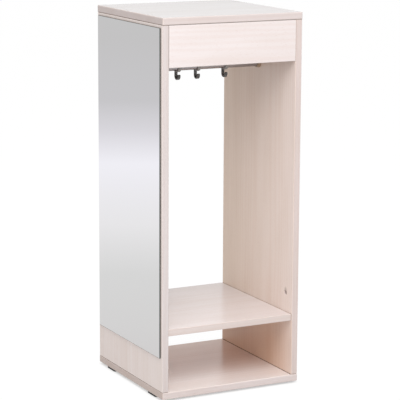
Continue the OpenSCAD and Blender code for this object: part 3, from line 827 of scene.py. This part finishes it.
def bare_beech(name, grain, tones, roughness):
    """Turned or pressed beech, which gives the eye warm wood with the flecks plain to see."""
    material, tree, output = new_material(name)
    place = add(tree, "ShaderNodeTexCoord").outputs["Object"]
    fleck = streaks(tree, place, grain, *POROUS_FLECK)
    share = add(tree, "ShaderNodeMapRange", {"Value": fleck, **FLECK_RANGE})
    tone = add(tree, "ShaderNodeMix", {
        MIX_FACTOR: share.outputs[0], MIX_A: linear(tones[0]), MIX_B: linear(tones[1])},
        data_type="RGBA")
    pores = add(tree, "ShaderNodeBump", {"Height": fleck, **OPEN_PORES})
    wood = add(tree, "ShaderNodeBsdfPrincipled", {
        "Base Color": tone.outputs[MIX_RESULT], "Roughness": roughness, "IOR": BEECH_IOR,
        "Normal": pores.outputs[0]})
    tree.links.new(wood.outputs[0], output.inputs["Surface"])
    return material


dress(bare_beech("turned_beech", "X", TURNED_TONES, TURNED_ROUGHNESS),
      "rail_socket_left", "rail_socket_right")

# %% [markdown]
# ## Dowels: their places
# Glued dowels hold the top, the base, the shelf and both aprons. Each one sits deeper in the
# edge of one board than in the face of the other, so its middle lies a little to the edge's
# side of the joint. The places could be typed in, but they all follow from the boards'
# boxes and a few margins, which are those of the construction model.

# %% Places of the dowels
DOWEL_IN_EDGE = 20.0 * MM
DOWEL_IN_FACE = 12.0 * MM
DOWEL_MARGIN = 45.0 * MM         # from the front and back edges of a side or the shelf
APRON_MARGIN = 28.0 * MM         # from the long edges of an apron
APRON_TOP_MARGIN = 80.0 * MM     # from the ends of an apron
FROM_JOINT = (DOWEL_IN_EDGE - DOWEL_IN_FACE) / 2   # from a joint to the dowel's middle


def middle_of(node):
    low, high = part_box(node)
    return (low + high) / 2


SIDE_XS = [middle_of("left_side_panel").x, middle_of("right_side_panel").x]
BAY_XS = [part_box("left_side_panel")[1].x + FROM_JOINT,
          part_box("right_side_panel")[0].x - FROM_JOINT]
UNDER_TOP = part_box("top_panel")[0].z - FROM_JOINT
OVER_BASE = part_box("base_panel")[1].z + FROM_JOINT
GLIDE_YS = [middle_of("glide_front_left").y, middle_of("glide_rear_left").y]


def three_ys(node):
    """Places of three dowels along the depth of a board."""
    low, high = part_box(node)
    return [low.y + DOWEL_MARGIN, middle_of(node).y, high.y - DOWEL_MARGIN]


def apron_dowels(apron):
    """Middle and axis of the dowels that hold an apron to the sides and the top."""
    low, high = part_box(apron)
    y = middle_of(apron).y
    at_sides = [(x, y, z) for x in BAY_XS for z in (low.z + APRON_MARGIN, high.z - APRON_MARGIN)]
    at_top = [(x, y, UNDER_TOP) for x in (low.x + APRON_TOP_MARGIN, high.x - APRON_TOP_MARGIN)]
    return [(place, "X") for place in at_sides] + [(place, "Z") for place in at_top]


SHELF_Z = middle_of("shelf").z
DOWELS = {
    "top_dowels": [((x, y, UNDER_TOP), "Z") for x in SIDE_XS for y in three_ys("left_side_panel")],
    "base_dowels": [((x, y, OVER_BASE), "Z") for x in SIDE_XS for y in GLIDE_YS],
    "shelf_dowels": [((x, y, SHELF_Z), "X") for x in BAY_XS for y in three_ys("shelf")],
    "front_apron_dowels": apron_dowels("front_apron"),
    "rear_apron_dowels": apron_dowels("rear_apron"),
}
print({node: len(pegs) for node, pegs in DOWELS.items()})

# %% [markdown]
# ## Dowels: one fluted peg
# The construction model has the dowels as plain round pegs, which is right for their fit. A
# real one is pressed with flutes that let the glue and the air out of its hole, and its ends
# are chamfered so that it finds the hole. Flutes could be cut from a cylinder with booleans.
# It is cleaner to lay the rings of points where they belong: the radius ripples round each
# ring, and the end rings are smaller and round.

# %% A fluted peg
DOWEL_RADIUS = 4.0 * MM
DOWEL_CHAMFER = 1.0 * MM
FLUTES = 16
FLUTE_DEPTH = 0.35 * MM
FLUTE_POINTS = 4             # points round each flute
RING_POINTS = FLUTES * FLUTE_POINTS
PEG_END = (DOWEL_IN_EDGE + DOWEL_IN_FACE) / 2
# Rings of a peg: place along it, radius and flute depth
PEG_RINGS = [
    (-PEG_END, DOWEL_RADIUS - DOWEL_CHAMFER, 0.0),
    (-PEG_END + DOWEL_CHAMFER, DOWEL_RADIUS, FLUTE_DEPTH),
    (PEG_END - DOWEL_CHAMFER, DOWEL_RADIUS, FLUTE_DEPTH),
    (PEG_END, DOWEL_RADIUS - DOWEL_CHAMFER, 0.0),
]


def fluted_ring(along, radius, depth, axis):
    """The points of one ring, round a peg's middle."""
    for i in range(RING_POINTS):
        angle = 2 * math.pi * i / RING_POINTS
        reach = radius - depth * (0.5 - 0.5 * math.cos(angle * FLUTES))
        across = reach * math.cos(angle), reach * math.sin(angle)
        yield Vector((along, *across) if axis == "X" else (*across, along))


def add_peg(shape, middle, axis):
    """Adds one peg to a bmesh and returns its faces."""
    rings = [[shape.verts.new(Vector(middle) + point) for point in fluted_ring(*ring, axis)]
             for ring in PEG_RINGS]
    faces = [shape.faces.new(rings[0][::-1]), shape.faces.new(rings[-1])]
    for low, high in zip(rings, rings[1:]):
        for i in range(RING_POINTS):
            j = (i + 1) % RING_POINTS
            faces.append(shape.faces.new((low[i], low[j], high[j], high[i])))
    return faces


print("peg", round(2 * PEG_END / MM), "mm long with", FLUTES, "flutes")

# %% [markdown]
# ## Dowels: the pieces
# All pegs of one joint are one piece, as they are one node in the construction model, and
# the piece stands for that node. Grain runs along a peg, so upright pegs and level ones need
# a material each. Smooth shading would smear the flutes into the chamfers, so edges sharper
# than a set angle stay crisp.

# %% Dowels
CRISP_ANGLE = math.radians(40.0)
RAW_TONES, RAW_ROUGHNESS = ("DCBF93", "B8925F"), 0.6
RAW_BEECH = {axis: bare_beech("fluted_beech_along_" + axis, axis, RAW_TONES, RAW_ROUGHNESS)
             for axis in "XZ"}


def make_dowels(node, pegs):
    """One piece with all the pegs of a joint, in place of the plain ones."""
    shape = bmesh.new()
    for middle, axis in pegs:
        for face in add_peg(shape, middle, axis):
            face.material_index = list(RAW_BEECH).index(axis)
            face.smooth = True
    mesh = bpy.data.meshes.new("fluted_" + node)
    shape.to_mesh(mesh)
    shape.free()
    mesh.set_sharp_from_angle(angle=CRISP_ANGLE)
    for beech in RAW_BEECH.values():
        mesh.materials.append(beech)
    piece = bpy.data.objects.new("fluted_" + node, mesh)
    bpy.context.scene.collection.objects.link(piece)
    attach(piece, "unit")
    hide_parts(node)


for node, pegs in DOWELS.items():
    make_dowels(node, pegs)
print(sum(len(pegs) for pegs in DOWELS.values()), "dowels in", len(DOWELS), "pieces")
